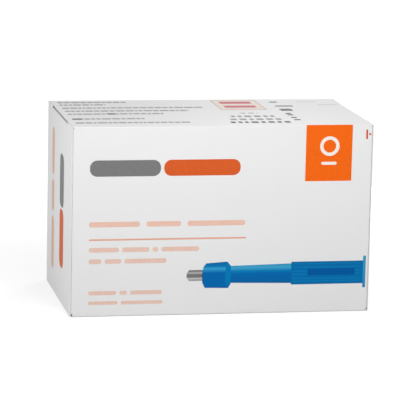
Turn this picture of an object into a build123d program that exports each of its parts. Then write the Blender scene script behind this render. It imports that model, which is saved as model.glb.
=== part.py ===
from build123d import *
import math
import os

# A folding carton of white board, closed and full. It opens at both ends: each end flap turns
# about its crease on the bottom panel, and its tuck flap goes in under the top panel.
# Inside stand ten sealed blister packs, two rows of five, with one biopsy punch in each.
# Millimetres. X runs along the carton, the front panel faces -Y, and +Z is up.
# The origin is the centre of the face that the carton stands on.

# The punch: a steel tube blade, sharpened at its front edge, in a moulded handle.
blade_bore = 5.0
blade_wall = 0.3
blade_bevel = 1.2
blade_reach = 7.6
blade_seat = 8.0
blade_fit = 0.02
collar_length = 14.4
collar_flats = 12.0
collar_bevel = 1.4
neck_length = 30.0
neck_front_diameter = 8.0
neck_rear_diameter = 9.6
grip_length = 35.6
grip_diameter = 11.4
grip_ribs = 12
rib_depth = 0.6
land_length = 23.5
land_width = 3.6
land_setback = 4.4
end_flange_thickness = 1.2
end_flange_diameter = 15.4
end_flange_sides = 12
# Every pack holds a punch, so the punch's round forms are drawn in this many flats.
round_sides = 24

# The blister: a formed tray with one long pocket and a thumb well across it, and a sheet of
# paper sealed over its mouth. The paper runs on past the tray at one end, to be peeled from.
tray_wall = 0.4
tray_draft = 4.0
pocket_side_play = 0.4
pocket_end_play = 2.0
pocket_corner = 2.0
well_length = 26.0
well_width = 31.0
well_depth = 9.0
well_corner = 4.0
paper_thickness = 0.2
seal_side = 13.4
seal_end = 21.5
peel_tab = 8.0
sheet_corner = 3.0

# How the packs stand in the carton.
packs_deep = 5
packs_high = 2
pack_gap = 0.1
end_room = 0.9

# The carton's board, and how it is cut and folded.
board = 0.5
crease_radius = 0.6
slip = 0.1
tuck_length = 15.0
tuck_lean = 3.5
tuck_corner = 6.0
tuck_taper = 3.0
tuck_top_room = 0.8
slit_length = 15.0
slit_width = 0.2
flap_side_room = 0.3
dust_flaps_gap = 10.0
dust_corner = 5.0
dust_foot_room = 1.0
dust_taper = 4.0
shoulder_length = 9.0
shoulder_top_room = 0.5
shoulder_step = 2.0
glue_flap_height = 14.0
glue_flap_end_room = 1.2
glue_flap_taper = 4.0
seam_edge_room = 0.4

# How far a cut runs past what it cuts.
overrun = 1.0

# What the punch's sizes give the pack.
blade_diameter = blade_bore + 2 * blade_wall
handle_length = collar_length + neck_length + grip_length + end_flange_thickness
punch_length = blade_reach + handle_length
pocket_length = punch_length + 2 * pocket_end_play
pocket_width = end_flange_diameter + 2 * pocket_side_play
pocket_depth = pocket_width
pocket_flare = pocket_depth * math.tan(math.radians(tray_draft))
tray_length = pocket_length + 2 * (pocket_flare + seal_end)
pack_length = tray_length + peel_tab
pack_width = pocket_width + 2 * (pocket_flare + seal_side)
pack_thickness = paper_thickness + pocket_depth + tray_wall

# The carton is cut to fit its packs.
tuck_drop = tuck_top_room + board + tuck_length * math.sin(math.radians(tuck_lean))
packs_depth = packs_deep * pack_thickness + (packs_deep + 1) * pack_gap
packs_height = packs_high * pack_width + (packs_high + 1) * pack_gap
carton_length = pack_length + 2 * (end_room + 2 * board + slip)
carton_depth = packs_depth + 3 * board
carton_height = packs_height + tuck_drop + 2 * board

mid_board = board / 2
fold_radius = crease_radius - mid_board
half_length = carton_length / 2
half_depth = carton_depth / 2
sleeve_end = half_length - board - slip
tuck_crease_height = carton_height - board - tuck_top_room - mid_board
tuck_half_width = half_depth - slit_length
dust_tip = dust_flaps_gap / 2


def sleeve_section():
    """The board's section across the sleeve: one strip folded at four creases. Its glue flap
    stands inside the back panel, whose lower edge stops just above the crease."""
    back = half_depth - mid_board
    front = -back
    panels = FilletPolyline(
        (0, mid_board),
        (front, mid_board),
        (front, carton_height - mid_board),
        (back, carton_height - mid_board),
        (back, crease_radius + seam_edge_room),
        radius=fold_radius,
    )
    glue_flap = FilletPolyline(
        (0, mid_board),
        (back - board, mid_board),
        (back - board, glue_flap_height),
        radius=fold_radius,
    )
    return trace(panels, line_width=board) + trace(glue_flap, line_width=board)


def upright_panel_ends():
    """What is cut from the sleeve's ends, so that the front and back panels stop where their
    dust flaps fold in. The creases above and below them run on to the end."""
    size = crease_radius + overrun
    place = sleeve_end - crease_radius + size / 2, half_depth - crease_radius + size / 2
    cut = Box(size, size, carton_height - 2 * crease_radius)
    return [
        Pos(end * place[0], side * place[1], carton_height / 2) * cut
        for end in (-1, 1)
        for side in (-1, 1)
    ]


def glue_flap_ends():
    """What is cut from the glue flap, whose ends slope back from the dust flaps' creases."""
    foot = sleeve_end - crease_radius - glue_flap_end_room
    cuts = []
    for end in (-1, 1):
        outline = Polyline(
            (end * foot, crease_radius),
            (end * (foot - glue_flap_taper), glue_flap_height),
            (end * (foot - glue_flap_taper), glue_flap_height + overrun),
            (end * (sleeve_end + overrun), glue_flap_height + overrun),
            (end * (sleeve_end + overrun), crease_radius),
            close=True,
        )
        outer_face = Plane.XZ.offset(board - half_depth)
        cuts.append(extrude(outer_face * make_face(outline), board + overrun))
    return cuts


def dust_flap_blank(side):
    """A dust flap's outline, seen from the end. Its shoulder stands behind the end flap's
    corner, and the rest is cut lower, to pass under the tuck flap."""
    crease, shoulder = half_depth + overrun, half_depth - shoulder_length
    foot = board + dust_foot_room
    head = carton_height - board - shoulder_top_room
    under_tuck = head - shoulder_step
    outline = Polyline(
        (side * crease, foot),
        (side * shoulder, foot),
        (side * dust_tip, foot + dust_taper),
        (side * dust_tip, under_tuck - dust_taper),
        (side * (shoulder - shoulder_step), under_tuck),
        (side * shoulder, head),
        (side * crease, head),
        close=True,
    )
    blank = make_face(outline)
    outward = Axis((0, 0, 0), (side, 0, 0))
    return fillet(blank.vertices().sort_by(outward)[:2], dust_corner)


def dust_flap(end, side):
    """One dust flap: the board turns in through its upright crease and lies across the end."""
    wall = side * (half_depth - mid_board)
    across = end * (sleeve_end - mid_board)
    plan = FilletPolyline(
        (end * (sleeve_end - 2 * crease_radius), wall),
        (across, wall),
        (across, side * dust_tip),
        radius=fold_radius,
    )
    strip = extrude(trace(plan, line_width=board), carton_height)
    return strip & extrude(Plane.YZ * dust_flap_blank(side), half_length, both=True)


def carton_sleeve():
    """The carton's body: one sheet, folded at its creases and glued down the back."""
    sleeve = extrude(Plane.YZ * sleeve_section(), sleeve_end, both=True)
    sleeve -= upright_panel_ends()
    sleeve -= glue_flap_ends()
    for end in (-1, 1):
        for side in (-1, 1):
            sleeve += dust_flap(end, side)
    return sleeve


def end_panel(face, half_width):
    """The end flap's flat panel, rounded along its foot about the crease that it turns on.
    Beyond the lock slits, its two upper corners stand up past the tuck flap's crease."""
    corner = tuck_half_width + slit_width
    corner_head = carton_height - slip
    crease_foot = tuck_crease_height - crease_radius
    outline = Polyline(
        (-half_width, mid_board),
        (-half_width, corner_head),
        (-corner, corner_head),
        (-corner, crease_foot),
        (corner, crease_foot),
        (corner, corner_head),
        (half_width, corner_head),
        (half_width, mid_board),
        close=True,
    )
    panel = extrude(Plane.YZ.offset(face) * make_face(outline), mid_board, both=True)
    foot = Plane.XZ * Pos(face, mid_board) * Circle(mid_board)
    return panel + extrude(foot, half_width, both=True)


def tuck_flap(end, face):
    """The tuck flap and its crease. The flap leans down from the crease as it goes in, and
    its sides and free corners are cut back so that it finds its way under the top panel."""
    lean = math.radians(tuck_lean)
    tip = abs(face) - tuck_length * math.cos(lean)
    fold = FilletPolyline(
        (face, tuck_crease_height - 2 * crease_radius),
        (face, tuck_crease_height),
        (end * tip, tuck_crease_height - tuck_length * math.sin(lean)),
        radius=fold_radius,
    )
    folded = extrude(Plane.XZ * trace(fold, line_width=board), tuck_half_width, both=True)
    root = half_length - crease_radius
    reach = half_length + overrun
    narrow = tuck_half_width - tuck_taper
    outline = Polyline(
        (end * reach, -tuck_half_width),
        (end * root, -tuck_half_width),
        (end * tip, -narrow),
        (end * tip, narrow),
        (end * root, tuck_half_width),
        (end * reach, tuck_half_width),
        close=True,
    )
    blank = make_face(outline)
    outward = Axis((0, 0, 0), (end, 0, 0))
    blank = fillet(blank.vertices().sort_by(outward)[:2], tuck_corner)
    return folded & extrude(blank, carton_height)


def end_flap(end):
    """An end flap with its tuck flap: one piece of board."""
    face = end * (half_length - mid_board)
    return end_panel(face, half_depth - flap_side_room) + tuck_flap(end, face)


def round_section(diameter, along):
    """A round section of the punch, square to its axis and measured across its flats."""
    flats = RegularPolygon(diameter / 2, round_sides, major_radius=False)
    return Plane.YZ.offset(along) * flats


def punch_handle():
    """The moulded handle, along X: a six-sided collar that the blade stands in, a tapering
    neck, a ribbed grip with one smooth land, and a thin end flange that won't roll."""
    along = blade_reach
    collar = extrude(
        Plane.YZ.offset(along) * RegularPolygon(collar_flats / 2, 6, major_radius=False),
        collar_length,
    )
    rims = collar.faces().sort_by(Axis.X)
    collar = chamfer(rims[0].edges() + rims[-1].edges(), collar_bevel)

    along += collar_length
    neck_front = round_section(neck_front_diameter, along)
    along += neck_length
    neck = loft([neck_front, round_section(neck_rear_diameter, along)])

    ridge, groove = grip_diameter / 2, grip_diameter / 2 - rib_depth
    corners = []
    for step in range(2 * grip_ribs):
        radius = groove if step % 2 else ridge
        turn = math.pi * step / grip_ribs
        corners.append((radius * math.cos(turn), radius * math.sin(turn)))
    ribs = make_face(Polyline(*corners, close=True))
    grip = extrude(Plane.YZ.offset(along) * ribs, grip_length)
    land = Pos(along + land_setback + land_length / 2, 0, ridge / 2) * Box(
        land_length, land_width, ridge
    )

    along += grip_length
    rim = RegularPolygon(end_flange_diameter / 2, end_flange_sides)
    flange = extrude(Plane.YZ.offset(along) * rim, end_flange_thickness)

    seat = extrude(round_section(blade_diameter + 2 * blade_fit, blade_reach), blade_seat)
    return collar + neck + grip + land + flange - seat


def punch_blade():
    """The tube blade, along X from its cutting edge. A bevel outside brings the edge down to
    the bore, and the plain end stands in the handle."""
    length = blade_reach + blade_seat
    edge = round_section(blade_bore, 0)
    shoulder = round_section(blade_diameter, blade_bevel)
    return loft([edge, shoulder]) + extrude(shoulder, length - blade_bevel) - extrude(edge, length)


def cut_sheet(length, width, corner):
    """A rectangle with its corners cut off."""
    sheet = Rectangle(length, width)
    return chamfer(sheet.vertices(), corner)


def formed_hollow(length, width, depth, corner, skin):
    """One drafted hollow of the tray, from its floor's size. With a skin, it is the form that
    the hollow's outside has."""
    flare = depth * math.tan(math.radians(tray_draft))
    mouth = cut_sheet(length + 2 * (flare + skin), width + 2 * (flare + skin), corner)
    form = extrude(mouth, depth + skin, taper=tray_draft)
    return Pos(0, 0, paper_thickness) * form


def blister_tray():
    """The formed tray, its mouth towards the paper at Z 0 and its pocket along X."""
    flange = extrude(cut_sheet(tray_length, pack_width, sheet_corner), tray_wall)
    outside = Pos(0, 0, paper_thickness) * flange
    beside_neck = blade_reach + collar_length + neck_length / 2 - punch_length / 2
    inside = []
    for length, width, depth, corner, place in (
        (pocket_length, pocket_width, pocket_depth, pocket_corner, 0),
        (well_length, well_width, well_depth, well_corner, beside_neck),
    ):
        outside += Pos(place, 0, 0) * formed_hollow(length, width, depth, corner, tray_wall)
        inside.append(Pos(place, 0, 0) * formed_hollow(length, width, depth, corner, 0))
    return outside - inside


def lid_paper():
    """The paper sealed over the tray, longer by the tab that it is peeled from."""
    sheet = extrude(cut_sheet(pack_length, pack_width, sheet_corner), paper_thickness)
    return Pos(peel_tab / 2, 0, 0) * sheet


def pack_places():
    """The planes that the packs' papers lie on, row by row and from the front to the back."""
    first_deep = board + pack_gap - half_depth
    first_high = board + pack_gap + pack_width / 2
    places = []
    for row in range(packs_high):
        for column in range(packs_deep):
            deep = first_deep + column * (pack_thickness + pack_gap)
            high = first_high + row * (pack_width + pack_gap)
            places.append(Plane((-peel_tab / 2, deep, high), x_dir=(1, 0, 0), z_dir=(0, 1, 0)))
    return places


def save(shape, node):
    """Writes one node's solid to its own file."""
    export_step(shape, f"parts/{node}.step")


os.makedirs("parts", exist_ok=True)

save(carton_sleeve(), "carton_sleeve")
save(end_flap(-1), "left_end_flap")
save(end_flap(1), "right_end_flap")

in_pocket = Pos(-punch_length / 2, 0, paper_thickness + pocket_depth / 2)
tray, paper = blister_tray(), lid_paper()
handle, blade = in_pocket * punch_handle(), in_pocket * punch_blade()
for number, place in enumerate(pack_places(), start=1):
    save(place * tray, f"blister_tray_{number:02d}")
    save(place * paper, f"lid_paper_{number:02d}")
    save(place * handle, f"punch_handle_{number:02d}")
    save(place * blade, f"punch_blade_{number:02d}")
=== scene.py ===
import math
import random

import bmesh
import bpy
from mathutils import Matrix, Vector


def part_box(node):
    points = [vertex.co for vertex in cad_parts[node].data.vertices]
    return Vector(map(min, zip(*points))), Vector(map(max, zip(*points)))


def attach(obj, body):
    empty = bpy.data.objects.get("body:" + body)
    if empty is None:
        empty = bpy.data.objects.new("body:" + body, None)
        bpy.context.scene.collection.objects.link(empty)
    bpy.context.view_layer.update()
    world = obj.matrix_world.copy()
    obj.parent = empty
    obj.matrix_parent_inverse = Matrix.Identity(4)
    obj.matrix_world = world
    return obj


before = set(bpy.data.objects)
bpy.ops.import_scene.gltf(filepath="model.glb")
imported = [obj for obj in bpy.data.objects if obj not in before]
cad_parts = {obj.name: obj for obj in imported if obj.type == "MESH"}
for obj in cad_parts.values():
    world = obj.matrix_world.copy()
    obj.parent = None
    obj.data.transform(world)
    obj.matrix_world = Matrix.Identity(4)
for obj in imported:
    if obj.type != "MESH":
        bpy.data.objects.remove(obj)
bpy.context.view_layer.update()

# The carton is die-cut from folding boxboard: wood fibre, coated with white clay on the side
# that shows and left bare on the side that faces the packs. It is creased, folded and glued
# down the back, and an end flap with a tuck flap closes each end.
MM = 0.001
BOARD = 0.5 * MM
CREASE_RADIUS = 0.6 * MM
BARE_SKIN = 0.05 * MM
TUCK_LEAN = math.radians(3.5)
TUCK_CREASE_BELOW_TOP = 1.55 * MM
SLEEVE_END, HALF_DEPTH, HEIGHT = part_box("carton_sleeve")[1]
FLAP_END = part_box("right_end_flap")[1][0]

CLAY_WHITE = "#F2F2F2"
# The grey along the creases is painted shade on the folds, broken up by a scuff noise as wear.
CREASE_SHADE_AND_WEAR = "#ECECEB"
BARE_FIBRE = "#E6E2D8"
CLAY_ROUGHNESS, FIBRE_ROUGHNESS = 0.48, 0.85
PANEL_WAVE, WAVE_HEIGHT = 45 * MM, 0.25 * MM
COATING_GRAIN, GRAIN_HEIGHT = 0.9 * MM, 0.01 * MM
CREASE_SHADE_AND_WEAR_WIDTH, CREASE_SHADE_AND_WEAR_CORE = 1.1 * MM, 0.2 * MM
SCUFF_SIZE = 6 * MM
FIBRE_LENGTH = 1.6 * MM
NOISE_LOW, NOISE_HIGH = 0.3, 0.7


def linear(hex_code):
    """An sRGB hex colour as the linear RGBA that Blender's sockets take."""
    parts = [int(hex_code[place:place + 2], 16) / 255 for place in (1, 3, 5)]
    return [c / 12.92 if c <= 0.04045 else ((c + 0.055) / 1.055) ** 2.4 for c in parts] + [1]


def add_node(tree, kind, sockets=None, **settings):
    """Adds a node with its settings. A socket is given a value, or the output that it takes."""
    node = tree.nodes.new(kind)
    for name, value in settings.items():
        setattr(node, name, value)
    for key, value in (sockets or {}).items():
        if isinstance(value, bpy.types.NodeSocket):
            tree.links.new(value, node.inputs[key])
        else:
            node.inputs[key].default_value = value
    return node


def new_material(name, **look):
    """A material with its Principled shader's plain sockets set, and its node tree."""
    material = bpy.data.materials.new(name)
    material.use_nodes = True
    shader = material.node_tree.nodes["Principled BSDF"]
    for socket, value in look.items():
        shader.inputs[socket.replace("_", " ")].default_value = value
    return material, material.node_tree, shader


def clay_surface(tree, place):
    """The coated face of the board as a bump: panels that aren't quite flat, under a fine
    grain that the calender leaves in the clay. The grain is drawn coarse enough to show."""
    wave = add_node(tree, "ShaderNodeTexNoise", {
        "Vector": place, "Scale": 1 / PANEL_WAVE, "Detail": 1,
    })
    grain = add_node(tree, "ShaderNodeTexNoise", {
        "Vector": place, "Scale": 1 / COATING_GRAIN, "Detail": 3,
    })
    bowed = add_node(tree, "ShaderNodeBump", {
        "Height": wave.outputs[0], "Distance": WAVE_HEIGHT, "Strength": 1.0,
    })
    return add_node(tree, "ShaderNodeBump", {
        "Height": grain.outputs[0], "Distance": GRAIN_HEIGHT, "Strength": 0.6,
        "Normal": bowed.outputs[0],
    }).outputs[0]


def mottled(tree, colour, noise, darkest, lightest):
    """A colour that runs darker and lighter with a noise, between two shares of itself. Most of
    Blender's noise lies between NOISE_LOW and NOISE_HIGH."""
    weight = add_node(tree, "ShaderNodeMapRange", {
        "Value": noise, "From Min": NOISE_LOW, "From Max": NOISE_HIGH,
        "To Min": darkest, "To Max": lightest,
    })
    return add_node(tree, "ShaderNodeVectorMath", {
        0: linear(colour)[:3], "Scale": weight.outputs[0],
    }, operation="SCALE").outputs[0]


def boxboard(name, end, coated_side):
    """Boxboard for one piece of the carton, which reaches so far to each end. Its outside is
    white clay, greyed a little along the creases by painted shade broken up as scuffed wear, and
    its inside is bare fibre."""
    material, tree, shader = new_material(name)
    place = add_node(tree, "ShaderNodeTexCoord").outputs["Object"]

    # How far a point lies inside the ends, the front and back, and the foot and top, as
    # numbers below zero.
    centred = add_node(tree, "ShaderNodeVectorMath", {
        0: place, 1: (0, 0, HEIGHT / 2),
    }, operation="SUBTRACT")
    folded = add_node(tree, "ShaderNodeVectorMath", {0: centred.outputs[0]}, operation="ABSOLUTE")
    depths = add_node(tree, "ShaderNodeVectorMath", {
        0: folded.outputs[0], 1: (end, HALF_DEPTH, HEIGHT / 2),
    }, operation="SUBTRACT")
    below = add_node(tree, "ShaderNodeSeparateXYZ", {0: depths.outputs[0]}).outputs

    # Two of the three depths are near zero along a crease, so the middle one marks it.
    low = add_node(tree, "ShaderNodeMath", {0: below[0], 1: below[1]}, operation="MINIMUM")
    high = add_node(tree, "ShaderNodeMath", {0: below[0], 1: below[1]}, operation="MAXIMUM")
    kept = add_node(tree, "ShaderNodeMath", {0: high.outputs[0], 1: below[2]}, operation="MINIMUM")
    middle = add_node(tree, "ShaderNodeMath", {
        0: low.outputs[0], 1: kept.outputs[0],
    }, operation="MAXIMUM")
    # A band along each crease is painted grey: painted shade where the fold turns, thinned out in
    # patches by a scuff noise as wear.
    crease = add_node(tree, "ShaderNodeMapRange", {
        "Value": middle.outputs[0], "From Min": -CREASE_SHADE_AND_WEAR_WIDTH, "From Max": -CREASE_SHADE_AND_WEAR_CORE,
    })
    scuff = add_node(tree, "ShaderNodeTexNoise", {
        "Vector": place, "Scale": 1 / SCUFF_SIZE, "Detail": 4,
    })
    shaded_and_worn = add_node(tree, "ShaderNodeMath", {
        0: crease.outputs[0], 1: scuff.outputs[0],
    }, operation="MULTIPLY")
    clay = add_node(tree, "ShaderNodeMix", {
        0: shaded_and_worn.outputs[0], 6: linear(CLAY_WHITE), 7: linear(CREASE_SHADE_AND_WEAR),
    }, data_type="RGBA")

    fibres = add_node(tree, "ShaderNodeTexNoise", {
        "Vector": place, "Scale": 1 / FIBRE_LENGTH, "Detail": 6, "Distortion": 2.5,
    })
    bare = mottled(tree, BARE_FIBRE, fibres.outputs[0], darkest=0.88, lightest=1.06)

    coated = coated_side(tree, place, below)
    tone = add_node(tree, "ShaderNodeMix", {
        0: coated, 6: bare, 7: clay.outputs[2],
    }, data_type="RGBA")
    gloss = add_node(tree, "ShaderNodeMapRange", {
        "Value": coated, "To Min": FIBRE_ROUGHNESS, "To Max": CLAY_ROUGHNESS,
    })
    tree.links.new(tone.outputs[2], shader.inputs["Base Color"])
    tree.links.new(gloss.outputs[0], shader.inputs["Roughness"])
    tree.links.new(clay_surface(tree, place), shader.inputs["Normal"])
    return material


def sleeve_outside(tree, place, below):
    """True but for the bare skin on the inside of the sleeve's board, so cut edges are white."""
    around = add_node(tree, "ShaderNodeMath", {0: below[1], 1: below[2]}, operation="MAXIMUM")
    outermost = add_node(tree, "ShaderNodeMath", {
        0: around.outputs[0], 1: below[0],
    }, operation="MAXIMUM")
    return add_node(tree, "ShaderNodeMath", {
        0: outermost.outputs[0], 1: BARE_SKIN - BOARD,
    }, operation="GREATER_THAN").outputs[0]


def flap_outside(tree, place, below):
    """True but for the bare skin on the inside of an end flap, and on the underside of the
    tuck flap that leans down from it."""
    lean = math.tan(TUCK_LEAN)
    underside = HEIGHT - TUCK_CREASE_BELOW_TOP - BOARD / 2 - lean * (FLAP_END - BOARD / 2)
    either_end = add_node(tree, "ShaderNodeVectorMath", {0: place}, operation="ABSOLUTE")
    across_tuck = add_node(tree, "ShaderNodeVectorMath", {
        0: either_end.outputs[0], 1: (-lean, 0, 1),
    }, operation="DOT_PRODUCT")
    above = add_node(tree, "ShaderNodeMath", {
        0: across_tuck.outputs["Value"], 1: underside + BARE_SKIN,
    }, operation="SUBTRACT")
    outside = add_node(tree, "ShaderNodeMath", {0: below[0], 1: BOARD - BARE_SKIN}, operation="ADD")
    either = add_node(tree, "ShaderNodeMath", {
        0: outside.outputs[0], 1: above.outputs[0],
    }, operation="MAXIMUM")
    return add_node(tree, "ShaderNodeMath", {
        0: either.outputs[0], 1: 0,
    }, operation="GREATER_THAN").outputs[0]


def finish_node(name, material):
    """Gives a node of the frame its finish."""
    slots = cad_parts[name].data.materials
    slots.clear()
    slots.append(material)


sleeve_board = boxboard("coated_boxboard_sleeve", SLEEVE_END, sleeve_outside)
flap_board = boxboard("coated_boxboard_flap", FLAP_END, flap_outside)
finish_node("carton_sleeve", sleeve_board)
finish_node("left_end_flap", flap_board)
finish_node("right_end_flap", flap_board)

# The front is printed in offset inks, in films on the clay that are drawn thicker than they
# are. A field in the size's own colour hangs from the top crease and turns over it, and the
# board shows white through it as a ring, for the round cut it makes, over a dash.
INK_FILM = 0.02 * MM
INK_MOTTLE = 1.5 * MM
INK_ROUGHNESS = 0.5
INK_GLOSS = 0.06
FIELD_LEFT, FIELD_RIGHT, FIELD_LOW = 40.9, 64.3, 66.1
FIELD_TURN = math.radians(78)
RING_CENTRE = (52.9, 83.5)
RING_RADIUS, RING_WIDTH = 4.9, 1.7
DASH = (48.8, 56.6, 74.2, 75.7)
DASH_CORNER = 0.7
SIZE_ORANGE = "#FF6D16"
PAPER_WHITE = "#FDF6EE"


def ink(name, colour):
    """One printing ink on the clay, matt as offset ink dries, with a trace of the board's
    mottle."""
    material, tree, shader = new_material(
        name, Roughness=INK_ROUGHNESS, Specular_IOR_Level=INK_GLOSS,
    )
    place = add_node(tree, "ShaderNodeTexCoord").outputs["Object"]
    mottle = add_node(tree, "ShaderNodeTexNoise", {
        "Vector": place, "Scale": 1 / INK_MOTTLE, "Detail": 3,
    })
    tone = mottled(tree, colour, mottle.outputs[0], darkest=0.96, lightest=1.03)
    tree.links.new(tone, shader.inputs["Base Color"])
    tree.links.new(clay_surface(tree, place), shader.inputs["Normal"])
    return material


def panel_plane(right, up, place):
    """The frame that a panel's print is drawn in, in millimetres from the middle of its foot."""
    right, up = Vector(right), Vector(up)
    axes = Matrix((right, up, right.cross(up))).transposed().to_4x4()
    return Matrix.Translation(place) @ axes @ Matrix.Scale(MM, 4)


def add_bar(sheet, left, right, low, high, corner=0.0):
    """Adds one flat bar to a sheet of print, its corners rounded by a radius."""
    corners = bmesh.ops.create_grid(sheet, x_segments=1, y_segments=1, size=0.5)["verts"]
    bmesh.ops.scale(sheet, vec=(right - left, high - low, 1), verts=corners)
    bmesh.ops.translate(sheet, vec=((left + right) / 2, (low + high) / 2, 0), verts=corners)
    if corner:
        bmesh.ops.bevel(
            sheet, geom=corners, offset=corner, affect="VERTICES", segments=5, profile=0.5,
            material=-1,
        )


def add_ring(sheet, centre, radius, width):
    """Adds one flat ring to a sheet of print."""
    disc = bmesh.ops.create_circle(sheet, cap_ends=True, radius=radius, segments=64)["verts"]
    bmesh.ops.translate(sheet, vec=(*centre, 0), verts=disc)
    face = disc[0].link_faces[0]
    bmesh.ops.inset_region(sheet, faces=[face], thickness=width, use_boundary=True)
    bmesh.ops.delete(sheet, geom=[face], context="FACES_ONLY")


def lay_print(name, sheet, panel, body, material, films=1):
    """Lays a sheet of print on its panel, so many ink films up, and fixes it to a body."""
    bmesh.ops.translate(sheet, vec=(0, 0, films * INK_FILM / MM), verts=sheet.verts)
    bmesh.ops.transform(sheet, matrix=panel, verts=sheet.verts)
    mesh = bpy.data.meshes.new(name)
    sheet.to_mesh(mesh)
    sheet.free()
    mesh.materials.append(material)
    piece = bpy.data.objects.new(name, mesh)
    bpy.context.collection.objects.link(piece)
    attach(piece, body)


front_panel = panel_plane((1, 0, 0), (0, 0, 1), (0, -HALF_DEPTH, 0))

size_field = bmesh.new()
fold_height = (HEIGHT - CREASE_RADIUS) / MM
add_bar(size_field, FIELD_LEFT, FIELD_RIGHT, FIELD_LOW, fold_height)
top_edge = max(size_field.edges, key=lambda edge: sum(corner.co.y for corner in edge.verts))
bmesh.ops.spin(
    size_field, geom=[top_edge, *top_edge.verts], cent=(0, fold_height, -CREASE_RADIUS / MM),
    axis=(1, 0, 0), angle=-FIELD_TURN, steps=8,
)
orange_ink = ink("offset_ink_orange", SIZE_ORANGE)
lay_print("size_field", size_field, front_panel, "carton", orange_ink)

size_mark = bmesh.new()
add_ring(size_mark, RING_CENTRE, RING_RADIUS, RING_WIDTH)
add_bar(size_mark, *DASH, DASH_CORNER)
board_white = ink("unprinted_board_white", PAPER_WHITE)
lay_print("size_mark", size_mark, front_panel, "carton", board_white, films=2)

# The rest of the front's print is plain bars: a wide bar in two colours, three heading bars
# over a thin rule, and four short lines of small bars under it. A small red mark beside the
# field points to the end to open.
FRONT_MARGIN = -66.1
WIDE_GREY_BAR = (FRONT_MARGIN, -31.2, 69.6, 77.6)
WIDE_ORANGE_BAR = (-29.6, 8.4, 69.6, 77.6)
WIDE_CORNER = 3.6
HEADING_FOOT, HEADING_HEIGHT = 44.6, 2.6
HEADING_LENGTHS = (25.0, 17.2, 28.8)
HEADING_GAP = 3.2
RULE = (FRONT_MARGIN, 11.9, 37.9, 38.7)
SMALL_LINES = (
    (32.1, 2.3, (14.8, 13.5, 2.8, 18.8)),
    (26.4, 2.3, (6.3, 8.2, 20.8)),
    (10.8, 2.0, (13.8, 3.7, 15.8)),
    (6.0, 1.7, (14.6, 20.7)),
)
SMALL_GAP = 1.6
BAR_ROUNDING = 0.45
OPENING_BAR = (71.2, 72.1, 86.8, 91.6)
OPENING_CORNER = 0.3
ARROW_PLACE = (73.2, 89.3)
ARROW_RADIUS = 0.9
BAR_GREY = "#808080"
BAR_ORANGE = "#E0622D"
HEADING_TINT = "#F4CAB8"
RULE_TINT = "#EDAE95"
SMALL_TINT = "#F1CEBF"
OPENING_RED = "#D9583C"


def lay_bars(name, bars, panel, body, material, corner=0.0, films=1):
    """Lays a print of plain bars, each given by its left, right, low and high."""
    sheet = bmesh.new()
    for bar in bars:
        add_bar(sheet, *bar, corner)
    lay_print(name, sheet, panel, body, material, films)


def add_bar_line(sheet, start, foot, height, lengths, gap):
    """Adds a line of round-ended bars of the given lengths, from a margin on."""
    for length in lengths:
        add_bar(sheet, start, start + length, foot, foot + height, height * BAR_ROUNDING)
        start += length + gap


grey_ink = ink("offset_ink_grey", BAR_GREY)
dark_orange_ink = ink("offset_ink_dark_orange", BAR_ORANGE)
lay_bars("wide_bar_grey", [WIDE_GREY_BAR], front_panel, "carton", grey_ink, WIDE_CORNER)
lay_bars("wide_bar_orange", [WIDE_ORANGE_BAR], front_panel, "carton", dark_orange_ink, WIDE_CORNER)

heading = bmesh.new()
add_bar_line(heading, FRONT_MARGIN, HEADING_FOOT, HEADING_HEIGHT, HEADING_LENGTHS, HEADING_GAP)
heading_ink = ink("offset_ink_heading_tint", HEADING_TINT)
lay_print("heading_bars", heading, front_panel, "carton", heading_ink)
lay_bars("heading_rule", [RULE], front_panel, "carton", ink("offset_ink_rule_tint", RULE_TINT))

small_bars = bmesh.new()
for foot, height, lengths in SMALL_LINES:
    add_bar_line(small_bars, FRONT_MARGIN, foot, height, lengths, SMALL_GAP)
small_ink = ink("offset_ink_small_tint", SMALL_TINT)
lay_print("small_bars", small_bars, front_panel, "carton", small_ink)

opening_mark = bmesh.new()
add_bar(opening_mark, *OPENING_BAR, OPENING_CORNER)
arrow = bmesh.ops.create_circle(
    opening_mark, cap_ends=True, radius=ARROW_RADIUS, segments=3,
)["verts"]
to_the_right = Matrix.Rotation(math.radians(-90), 3, "Z")
bmesh.ops.rotate(opening_mark, cent=(0, 0, 0), matrix=to_the_right, verts=arrow)
bmesh.ops.translate(opening_mark, vec=(*ARROW_PLACE, 0), verts=arrow)
opening_ink = ink("offset_ink_mark_red", OPENING_RED)
lay_print("opening_mark", opening_mark, front_panel, "carton", opening_ink)

# The front's picture of the punch that the packs hold, printed in flat shapes with a soft
# shade down each: a steel tube, then the blue collar, neck, ribbed grip and end flange. A
# shape that lies on another has more ink films under it.
PICTURE_BLUE = "#026BB4"
RIB_BLUE = "#0A80C0"
LAND_BLUE = "#005DA6"
RIB_LEFT, RIB_RIGHT = 36.0, 71.2
RIB_FEET = (15.5, 16.8, 19.1, 20.7, 22.6, 24.3)
RIB_WIDTH = 0.6
RIB_CORNER = 0.2
LAND = (43.5, 67.4, 18.7, 22.0)


def shaded_ink(name, low, high, stops):
    """An ink that changes tone from a low to a high line of the front, as a printed round
    body does. A stop is a share of the way up and its colour."""
    material, tree, shader = new_material(
        name, Roughness=INK_ROUGHNESS, Specular_IOR_Level=INK_GLOSS,
    )
    place = add_node(tree, "ShaderNodeTexCoord").outputs["Object"]
    up = add_node(tree, "ShaderNodeSeparateXYZ", {0: place}).outputs[2]
    share = add_node(tree, "ShaderNodeMapRange", {
        "Value": up, "From Min": low * MM, "From Max": high * MM,
    })
    ramp = add_node(tree, "ShaderNodeValToRGB", {0: share.outputs[0]})
    elements = ramp.color_ramp.elements
    while len(elements) < len(stops):
        elements.new(1)
    for element, (position, colour) in zip(elements, stops):
        element.position = position
        element.color = linear(colour)
    tree.links.new(ramp.outputs[0], shader.inputs["Base Color"])
    tree.links.new(clay_surface(tree, place), shader.inputs["Normal"])
    return material


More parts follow.
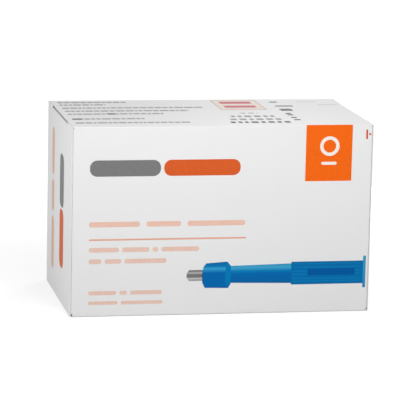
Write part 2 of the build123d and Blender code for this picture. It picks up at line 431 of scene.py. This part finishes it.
def picture_shape(name, outline, ink_name, stops, films=1):
    """One flat shape of the picture, from the corners of its outline. Its ink is shaded from
    the outline's lowest line to its highest."""
    sheet = bmesh.new()
    sheet.faces.new([sheet.verts.new((across, up, 0)) for across, up in outline])
    bmesh.ops.recalc_face_normals(sheet, faces=sheet.faces)
    heights = [up for across, up in outline]
    shaded = shaded_ink(ink_name, min(heights), max(heights), stops)
    lay_print(name, sheet, front_panel, "carton", shaded, films)


picture_shape("picture_blade", (
    (-9.4, 17.0), (-9.4, 22.4), (-16.3, 22.4), (-17.4, 20.8), (-17.4, 18.6), (-16.2, 17.0),
), "offset_ink_tube_greys", (
    (0.0, "#969696"), (0.12, "#A8A8A8"), (0.22, "#D4D4D4"), (0.33, "#828282"),
    (0.58, "#767676"), (0.74, "#BEBEBE"), (0.84, "#9A9A9A"), (0.94, "#666666"),
))
picture_shape("picture_collar", (
    (-9.7, 19.9), (-9.5, 16.0), (-8.3, 13.4), (3.4, 13.1), (4.7, 15.2), (4.7, 24.3),
    (2.9, 26.4), (-7.7, 25.7), (-9.1, 23.8),
), "offset_ink_collar_blues", (
    (0.0, "#0A64AC"), (0.1, PICTURE_BLUE), (0.58, PICTURE_BLUE), (0.7, "#2C97D0"),
    (0.75, "#3AAADB"), (0.82, "#0B7EBE"), (1.0, "#0568A8"),
))
picture_shape("picture_collar_facet", (
    (1.7, 15.6), (3.4, 13.1), (4.7, 15.2), (4.7, 24.3), (2.9, 26.4), (2.1, 23.2),
), "offset_ink_facet_blues", (
    (0.0, "#0E6CB4"), (0.2, "#027EBC"), (0.8, "#0280C0"), (1.0, "#0E86C0"),
), films=2)
picture_shape("picture_neck", (
    (4.6, 15.7), (35.4, 15.0), (35.4, 24.9), (4.6, 24.2),
), "offset_ink_neck_blues", (
    (0.0, "#07598F"), (0.12, "#0668AE"), (0.52, PICTURE_BLUE), (0.66, "#0883C0"),
    (0.82, "#43ACD6"), (1.0, "#3499C4"),
))
picture_shape("picture_grip", (
    (35.2, 14.2), (71.9, 14.2), (71.9, 25.7), (35.2, 25.7),
), "offset_ink_grip_blues", (
    (0.0, "#066FAC"), (0.15, "#0374B4"), (0.7, "#0372B4"), (1.0, "#086EA8"),
), films=2)
picture_shape("picture_flange", (
    (71.7, 12.4), (72.4, 11.9), (73.1, 12.3), (73.1, 28.0), (72.5, 28.3), (71.7, 27.9),
), "offset_ink_flange_blues", (
    (0.0, "#2C8FBE"), (0.5, "#3A9CCB"), (1.0, "#3CA0C6"),
), films=3)

rib_ink = ink("offset_ink_rib_blue", RIB_BLUE)
rib_bars = [(RIB_LEFT, RIB_RIGHT, foot, foot + RIB_WIDTH) for foot in RIB_FEET]
lay_bars("picture_ribs", rib_bars, front_panel, "carton", rib_ink, RIB_CORNER, films=3)
land_ink = ink("offset_ink_land_blue", LAND_BLUE)
lay_bars("picture_land", [LAND], front_panel, "carton", land_ink, films=4)

# The top's print: broken lines of short grey bars on its left, two bars in a red-edged box,
# rows of small marks beside and under it, and two pale lines.
TOP_MARGIN = -71.5
LINE_HEIGHT = 3.2
LINE_BAR_LENGTHS, LINE_GAP = (1.2, 4.6), 0.6
TOP_LINES = (
    (35.4, -36.2), (27.2, -48.1), (16.6, 0.8), (6.6, -8.7), (-3.0, -23.3), (-18.6, -35.5),
    (-30.8, -14.7),
)
DARK_BARS = ((TOP_MARGIN, -66.7, -18.6), (-51.5, -47.6, -3.0))
DARK_BAR_HEIGHT = 3.6
MARK_LENGTHS, MARK_GAP = (1.6, 3.6), 1.5
MARK_ROWS = ((-3.7, 2.2, 15.9, 24.7), (-14.0, 4.8, 8.9, 31.8), (-23.6, 4.6, 6.8, 33.2))
DARK_MARK_ROW = (-32.6, 4.4, 5.1, 35.1)
STEP_MARGIN, STEP_HEIGHT = 38.6, 2.8
MARK_STEPS = (
    (32.4, 4.0), (18.8, 9.4), (8.0, 6.2), (4.4, 6.2), (-6.0, 2.8), (-10.4, 3.0), (-19.0, 2.8),
    (-26.0, 3.2),
)
BOX = (8.6, 32.0, 7.6, 39.8)
BOX_RAIL, BOX_POST = 0.8, 0.4
BOX_BARS = ((12.0, 28.4, 14.6, 21.4), (12.0, 28.4, 27.6, 34.6))
BOX_BAR_CORNER = 0.8
PALE_LINES = ((52.6, 63.2, 31.8, 33.2), (62.0, 72.3, 21.9, 23.3))
LINE_GREY = "#A4A4A4"
MARK_GREY = "#5E5E5E"
BOX_FILL = "#FFF6EA"
BOX_EDGE = "#E7A191"
BOX_RED = "#DF7B88"
PALE_GREY = "#D2D2D2"

top_panel = panel_plane((1, 0, 0), (0, 1, 0), (0, 0, HEIGHT))
chance = random.Random(11)


def centred_bar(left, right, middle, height):
    """A bar's left, right, low and high, from the line that it is centred on."""
    return left, right, middle - height / 2, middle + height / 2


def chance_bars(middle, height, start, end, lengths, gap):
    """The bars of a broken line, each as long as chance has it, from its start to its end."""
    bars = []
    while start < end:
        length = min(chance.uniform(*lengths), end - start)
        bars.append(centred_bar(start, start + length, middle, height))
        start += length + gap
    return bars


line_bars = []
for middle, end in TOP_LINES:
    line_bars += chance_bars(middle, LINE_HEIGHT, TOP_MARGIN, end, LINE_BAR_LENGTHS, LINE_GAP)
for row in MARK_ROWS:
    line_bars += chance_bars(*row, MARK_LENGTHS, MARK_GAP)
line_ink = ink("offset_ink_line_grey", LINE_GREY)
lay_bars("top_line_bars", line_bars, top_panel, "carton", line_ink)

mark_bars = [centred_bar(*bar, DARK_BAR_HEIGHT) for bar in DARK_BARS]
mark_bars += chance_bars(*DARK_MARK_ROW, MARK_LENGTHS, MARK_GAP)
for middle, length in MARK_STEPS:
    mark_bars.append(centred_bar(STEP_MARGIN, STEP_MARGIN + length, middle, STEP_HEIGHT))
mark_ink = ink("offset_ink_mark_grey", MARK_GREY)
lay_bars("top_mark_bars", mark_bars, top_panel, "carton", mark_ink, films=2)

lay_bars("top_box_fill", [BOX], top_panel, "carton", ink("offset_ink_box_fill", BOX_FILL))
left, right, low, high = BOX
inner_low, inner_high = low + BOX_RAIL, high - BOX_RAIL
box_edges = (
    (left, right, low, inner_low),
    (left, right, inner_high, high),
    (left, left + BOX_POST, inner_low, inner_high),
    (right - BOX_POST, right, inner_low, inner_high),
)
edge_ink = ink("offset_ink_box_edge", BOX_EDGE)
lay_bars("top_box_edge", box_edges, top_panel, "carton", edge_ink, films=2)
box_ink = ink("offset_ink_box_red", BOX_RED)
lay_bars("top_box_bars", BOX_BARS, top_panel, "carton", box_ink, BOX_BAR_CORNER, films=2)
pale_ink = ink("offset_ink_pale_grey", PALE_GREY)
lay_bars("top_pale_lines", PALE_LINES, top_panel, "carton", pale_ink)

# The left end's print runs down the end flap, so it swings with the flap: the same bar in two
# colours, and three heading bars beside it.
END_GREY_BAR = (-75.2, -48.6, 3.2, 16.8)
END_ORANGE_BAR = (-47.4, -18.0, 3.2, 16.8)
END_CORNER = 4.5
END_MARGIN = -84.0
END_HEADING_FOOT, END_HEADING_HEIGHT = -25.5, 8.0
END_LENGTHS = (24.4, 16.2, 27.0)
END_GAP = 2.6
END_TINT = "#F2C0AA"

end_panel = panel_plane((0, 0, -1), (0, -1, 0), (-FLAP_END, 0, 0))
lay_bars("end_bar_grey", [END_GREY_BAR], end_panel, "left_flap", grey_ink, END_CORNER)
lay_bars("end_bar_orange", [END_ORANGE_BAR], end_panel, "left_flap", dark_orange_ink, END_CORNER)
end_heading = bmesh.new()
add_bar_line(end_heading, END_MARGIN, END_HEADING_FOOT, END_HEADING_HEIGHT, END_LENGTHS, END_GAP)
end_ink = ink("offset_ink_end_tint", END_TINT)
lay_print("end_heading_bars", end_heading, end_panel, "left_flap", end_ink)

# The trays are blistered from clear PETG film: warmed, drawn down into a mould and die-cut. The
# film keeps its shine, and ripples a little where it is drawn.
PACKS = 10
PETG_TINT = "#F4F8FA"
FILM_RIPPLE, RIPPLE_HEIGHT = 7 * MM, 0.1 * MM


def finish_packs(piece, material):
    """Gives the same piece of every pack its finish."""
    for pack in range(1, PACKS + 1):
        finish_node(f"{piece}_{pack:02d}", material)


clear_film, film_tree, film_shader = new_material(
    "thermoformed_PETG", Roughness=0.06, IOR=1.57, Transmission_Weight=1.0,
    Base_Color=linear(PETG_TINT),
)
film_place = add_node(film_tree, "ShaderNodeTexCoord").outputs["Object"]
ripple = add_node(film_tree, "ShaderNodeTexNoise", {
    "Vector": film_place, "Scale": 1 / FILM_RIPPLE, "Detail": 2,
})
drawn_film = add_node(film_tree, "ShaderNodeBump", {
    "Height": ripple.outputs[0], "Distance": RIPPLE_HEIGHT, "Strength": 1.0,
})
film_tree.links.new(drawn_film.outputs[0], film_shader.inputs["Normal"])

# Light passes the thin film almost unbent, and so reaches the paper and the punch behind it.
film_ray = add_node(film_tree, "ShaderNodeLightPath").outputs
lighting = add_node(film_tree, "ShaderNodeMath", {
    0: film_ray["Is Shadow Ray"], 1: film_ray["Is Diffuse Ray"],
}, operation="MAXIMUM")
unbent = add_node(film_tree, "ShaderNodeBsdfTransparent", {"Color": linear(PETG_TINT)})
film_surface = add_node(film_tree, "ShaderNodeMixShader", {
    0: lighting.outputs[0], 1: film_shader.outputs[0], 2: unbent.outputs[0],
})
film_output = film_tree.nodes["Material Output"]
film_tree.links.new(film_surface.outputs[0], film_output.inputs["Surface"])
finish_packs("blister_tray", clear_film)

# The lid papers are medical kraft paper, matt and a little cloudy from its felted fibres. Each
# is cut to its pack, sealed over the tray by heat, and peeled off by a tab.
LID_WHITE = "#EFEDE6"
LID_CLOUD = 2.4 * MM
FELT_HEIGHT = 0.02 * MM

lid_paper, lid_tree, lid_shader = new_material("medical_kraft_paper", Roughness=0.85)
lid_place = add_node(lid_tree, "ShaderNodeTexCoord").outputs["Object"]
cloud = add_node(lid_tree, "ShaderNodeTexNoise", {
    "Vector": lid_place, "Scale": 1 / LID_CLOUD, "Detail": 5,
})
lid_tone = mottled(lid_tree, LID_WHITE, cloud.outputs[0], darkest=0.95, lightest=1.03)
felt = add_node(lid_tree, "ShaderNodeBump", {
    "Height": cloud.outputs[0], "Distance": FELT_HEIGHT, "Strength": 0.8,
})
lid_tree.links.new(lid_tone, lid_shader.inputs["Base Color"])
lid_tree.links.new(felt.outputs[0], lid_shader.inputs["Normal"])
finish_packs("lid_paper", lid_paper)

# The punches' handles are moulded in one piece from blue polypropylene, and keep a satin skin
# from the mould.
HANDLE_BLUE = "#0B63B4"
SATIN_GRAIN, SATIN_HEIGHT = 0.5 * MM, 0.01 * MM

moulded_blue, blue_tree, blue_shader = new_material(
    "moulded_polypropylene_blue", Roughness=0.35, IOR=1.49, Base_Color=linear(HANDLE_BLUE),
    Subsurface_Weight=0.05,
)
blue_place = add_node(blue_tree, "ShaderNodeTexCoord").outputs["Object"]
satin = add_node(blue_tree, "ShaderNodeTexNoise", {
    "Vector": blue_place, "Scale": 1 / SATIN_GRAIN, "Detail": 2,
})
mould_skin = add_node(blue_tree, "ShaderNodeBump", {
    "Height": satin.outputs[0], "Distance": SATIN_HEIGHT, "Strength": 0.5,
})
blue_tree.links.new(mould_skin.outputs[0], blue_shader.inputs["Normal"])
finish_packs("punch_handle", moulded_blue)

# The punches' blades are seamless stainless steel tube, seated in the handle. The tube is
# turned as it is ground and polished, so its fine scratches run round it.
STEEL_TONE = "#C9CBCD"
SCRATCH_WIDTH, SCRATCH_LENGTH = 0.12 * MM, 25 * MM
POLISHED, SCRATCHED = 0.18, 0.34

ground_steel, steel_tree, steel_shader = new_material(
    "ground_stainless_steel", Metallic=1.0, Base_Color=linear(STEEL_TONE),
)
steel_place = add_node(steel_tree, "ShaderNodeTexCoord").outputs["Object"]
drawn_round = add_node(steel_tree, "ShaderNodeMapping", {
    0: steel_place, "Scale": (1 / SCRATCH_WIDTH, 1 / SCRATCH_LENGTH, 1 / SCRATCH_LENGTH),
})
scratches = add_node(steel_tree, "ShaderNodeTexNoise", {
    "Vector": drawn_round.outputs[0], "Scale": 1, "Detail": 2,
})
brushed = add_node(steel_tree, "ShaderNodeMapRange", {
    "Value": scratches.outputs[0], "From Min": NOISE_LOW, "From Max": NOISE_HIGH,
    "To Min": POLISHED, "To Max": SCRATCHED,
})
steel_tree.links.new(brushed.outputs[0], steel_shader.inputs["Roughness"])
finish_packs("punch_blade", ground_steel)

# A plain pale floor. It looks white to the camera and to gloss. Near the carton the lamps make
# up a part of that white, so its glow is weaker there and the carton's soft shadow shows.
FLOOR_SIZE = 8
FLOOR_DROP = 0.05 * MM
FLOOR_WHITE = "#B4B4B4"
NEAR_GLOW, FAR_GLOW = 0.6, 0.82
NEAR_REACH, FAR_REACH = 0.08, 0.32


def seen_directly(tree):
    """True for a ray from the camera, or one that gloss or clear film sends on."""
    ray = add_node(tree, "ShaderNodeLightPath").outputs
    sent_on = add_node(tree, "ShaderNodeMath", {
        0: ray["Is Glossy Ray"], 1: ray["Is Transmission Ray"],
    }, operation="MAXIMUM")
    return add_node(tree, "ShaderNodeMath", {
        0: ray["Is Camera Ray"], 1: sent_on.outputs[0],
    }, operation="MAXIMUM").outputs[0]


floor_paint, floor_tree, floor_shader = new_material(
    "matt_floor_paint", Roughness=0.9, Base_Color=linear(FLOOR_WHITE),
    Emission_Color=(1, 1, 1, 1),
)
floor_place = add_node(floor_tree, "ShaderNodeTexCoord").outputs["Object"]
away = add_node(floor_tree, "ShaderNodeVectorMath", {0: floor_place}, operation="LENGTH")
glow = add_node(floor_tree, "ShaderNodeMapRange", {
    "Value": away.outputs["Value"], "From Min": NEAR_REACH, "From Max": FAR_REACH,
    "To Min": NEAR_GLOW, "To Max": FAR_GLOW,
}, interpolation_type="SMOOTHSTEP")
seen_glow = add_node(floor_tree, "ShaderNodeMath", {
    0: seen_directly(floor_tree), 1: glow.outputs[0],
}, operation="MULTIPLY")
floor_tree.links.new(seen_glow.outputs[0], floor_shader.inputs["Emission Strength"])

floor_sheet = bmesh.new()
bmesh.ops.create_grid(floor_sheet, x_segments=1, y_segments=1, size=FLOOR_SIZE / 2)
bmesh.ops.translate(floor_sheet, vec=(0, 0, -FLOOR_DROP), verts=floor_sheet.verts)
floor_mesh = bpy.data.meshes.new("floor")
floor_sheet.to_mesh(floor_mesh)
floor_sheet.free()
floor_mesh.materials.append(floor_paint)
floor = bpy.data.objects.new("floor", floor_mesh)
bpy.context.collection.objects.link(floor)

# The light: a white surround that lights the carton evenly, one strong soft lamp before the
# front, and weaker ones for the left end, the right end, the top and the back, so that every
# side keeps its white. A lamp has its name, place, width and power.
SURROUND = 0.42
LAMPS = (
    ("key_lamp", (-0.02, -0.29, 0.21), 0.12, 0.42),
    ("left_lamp", (-0.25, -0.08, 0.12), 0.1, 0.14),
    ("right_lamp", (0.27, -0.12, 0.14), 0.1, 0.11),
    ("top_lamp", (0.08, 0.2, 0.25), 0.15, 0.12),
    ("back_lamp", (0.16, 0.3, 0.05), 0.08, 0.25),
)

world = bpy.data.worlds.new("white_surround")
bpy.context.scene.world = world
world.use_nodes = True
surround = world.node_tree.nodes["Background"]
surround.inputs["Color"].default_value = (1, 1, 1, 1)
level = add_node(world.node_tree, "ShaderNodeMapRange", {
    "Value": seen_directly(world.node_tree), "To Min": SURROUND, "To Max": 1,
})
world.node_tree.links.new(level.outputs[0], surround.inputs["Strength"])

carton_middle = Vector((0, 0, HEIGHT / 2))
for name, place, width, power in LAMPS:
    lamp = bpy.data.lights.new(name, "AREA")
    lamp.shape = "DISK"
    lamp.size = width
    lamp.energy = power
    lamp_object = bpy.data.objects.new(name, lamp)
    lamp_object.location = place
    towards_carton = (carton_middle - Vector(place)).to_track_quat("-Z", "Y")
    lamp_object.rotation_euler = towards_carton.to_euler()
    lamp_object.visible_camera = False
    bpy.context.collection.objects.link(lamp_object)

# The camera stands well off to the front and left with a long lens, as in the photograph. Its
# place, aim, roll and lens were fitted to the carton's corners there.
CAMERA_PLACE = Vector((-0.2545, -1.2841, 0.2945))
CAMERA_AIM = Vector((-0.0052, -0.0317, 0.0512))
CAMERA_ROLL = math.radians(1.29)
CAMERA_LENS, CAMERA_SENSOR = 227.8, 36

camera = bpy.data.cameras.new("camera")
camera.lens = CAMERA_LENS
camera.sensor_width = CAMERA_SENSOR
camera_object = bpy.data.objects.new("camera", camera)
camera_object.location = CAMERA_PLACE
facing = (CAMERA_AIM - CAMERA_PLACE).to_track_quat("-Z", "Y").to_matrix()
camera_object.rotation_euler = (facing @ Matrix.Rotation(CAMERA_ROLL, 3, "Z")).to_euler()
bpy.context.collection.objects.link(camera_object)
bpy.context.scene.camera = camera_object
bpy.context.scene.view_settings.view_transform = "Standard"
